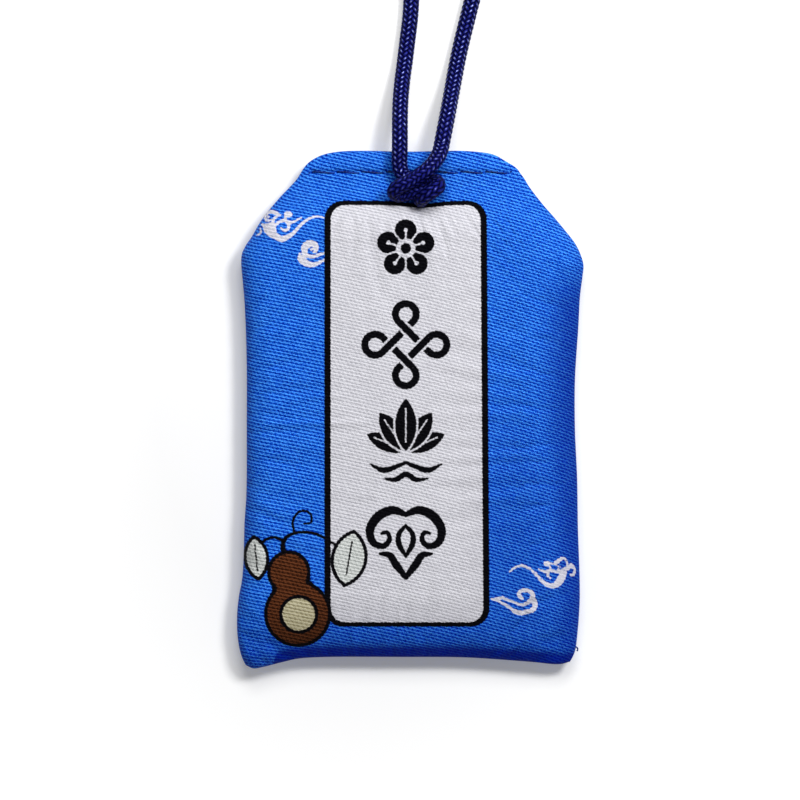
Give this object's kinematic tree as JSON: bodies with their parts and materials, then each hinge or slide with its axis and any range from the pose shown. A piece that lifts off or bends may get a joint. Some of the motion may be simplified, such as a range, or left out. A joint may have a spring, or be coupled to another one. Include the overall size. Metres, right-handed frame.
{
  "type": "blessing amulet",
  "caption": "Padded brocade pouch charm, sewn shut round foam, card and a folded paper slip, with a half-knotted loop of braided cord that folds over its front.",
  "frame": {"origin": "on the surface that the amulet lies on, under the middle of the pouch's width and height", "axes": "+Z out of the pouch's front face, +Y from the bottom fold to the sewn mouth, +X to the right as the front is looked at with the mouth upwards"},
  "size_m": [0.0406, 0.1397, 0.0073],
  "materials": {
    "brocade": "matte",
    "cord": "matte",
    "thread": "satin",
    "foam": "matte",
    "card": "matte",
    "paper": "matte"
  },
  "bodies": {
    "pouch": {"pouch_cloth": "brocade", "foam_pad": "foam", "stiffener_card": "card", "paper_sleeve": "paper", "blessing_slip": "paper", "mouth_needle_thread": "thread", "mouth_bobbin_thread": "thread", "left_seam_thread": "thread", "right_seam_thread": "thread", "cord_knot": "cord"},
    "loop": {"left_strand": "cord", "right_strand": "cord", "end_knot": "cord", "left_cord_tail": "cord", "right_cord_tail": "cord"}
  },
  "joints": [
    {"name": "loop_fold", "type": "hinge", "parent": "pouch", "child": "loop", "pos_m": [0, 0.0314, 0.00565], "axis": [1, 0, 0], "range_deg": [0, 165]}
  ]
}
